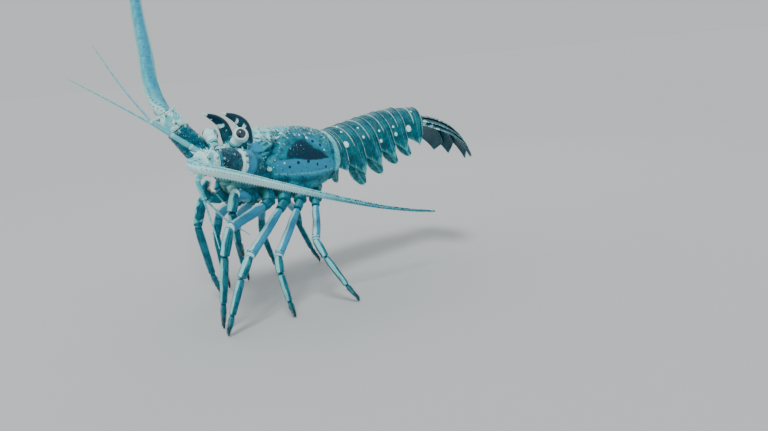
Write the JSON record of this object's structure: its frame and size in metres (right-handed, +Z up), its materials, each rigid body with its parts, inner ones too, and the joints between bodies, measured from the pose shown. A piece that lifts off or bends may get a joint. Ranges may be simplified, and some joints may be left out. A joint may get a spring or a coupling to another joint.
{
  "type": "spiny lobster",
  "caption": "Life-size spiny lobster model: horned spiny carapace, jointed tail with fan, slender walking legs and long whip antennae, standing still.",
  "frame": {"origin": "on the floor, under the centre of the whole model's bounding box", "axes": "+Z up; the head points to -X, the animal's left side is towards -Y and the tail goes to +X"},
  "size_m": [0.3278, 0.3666, 0.4063],
  "materials": {
    "carapace_shell": "satin mottled shell",
    "tail_shell": "satin banded shell",
    "leg_shell": "satin striped shell",
    "antenna": "matt spiny shell",
    "horn": "satin horn with pale bands",
    "eye": "glossy",
    "underside": "satin pale shell"
  },
  "bodies": {
    "root": {"carapace": "carapace_shell", "head_plate": "underside", "sternum": "underside", "horn_left": "horn", "horn_right": "horn", "eye_left": "eye", "eye_right": "eye", "antenna_left_base": "antenna", "antenna_left_middle": "antenna", "antenna_left_end": "antenna", "antenna_left_whip_root": "antenna", "antenna_left_whip_tip": "antenna", "antenna_right_base": "antenna", "antenna_right_middle": "antenna", "antenna_right_end": "antenna", "antenna_right_whip_root": "antenna", "antenna_right_whip_middle": "antenna", "antenna_right_whip_tip": "antenna", "antennule_left_stalk": "antenna", "antennule_left_outer": "antenna", "antennule_left_inner": "antenna", "antennule_right_stalk": "antenna", "antennule_right_outer": "antenna", "antennule_right_inner": "antenna", "maxilliped_left": "leg_shell", "maxilliped_right": "leg_shell", "leg_1_left_upper": "leg_shell", "leg_1_left_lower": "leg_shell", "leg_2_left_upper": "leg_shell", "leg_2_left_lower": "leg_shell", "leg_3_left_upper": "leg_shell", "leg_3_left_lower": "leg_shell", "leg_4_left_upper": "leg_shell", "leg_4_left_lower": "leg_shell", "leg_5_left_upper": "leg_shell", "leg_5_left_lower": "leg_shell", "leg_1_right_upper": "leg_shell", "leg_1_right_lower": "leg_shell", "leg_2_right_upper": "leg_shell", "leg_2_right_lower": "leg_shell", "leg_3_right_upper": "leg_shell", "leg_3_right_lower": "leg_shell", "leg_4_right_upper": "leg_shell", "leg_4_right_lower": "leg_shell", "leg_5_right_upper": "leg_shell", "leg_5_right_lower": "leg_shell", "tail_segment_1": "tail_shell", "tail_segment_2": "tail_shell", "tail_segment_3": "tail_shell", "tail_segment_4": "tail_shell", "tail_segment_5": "tail_shell", "tail_segment_6": "tail_shell", "telson": "tail_shell", "uropod_left_inner": "tail_shell", "uropod_left_outer": "tail_shell", "uropod_right_inner": "tail_shell", "uropod_right_outer": "tail_shell"}
  },
  "joints": []
}
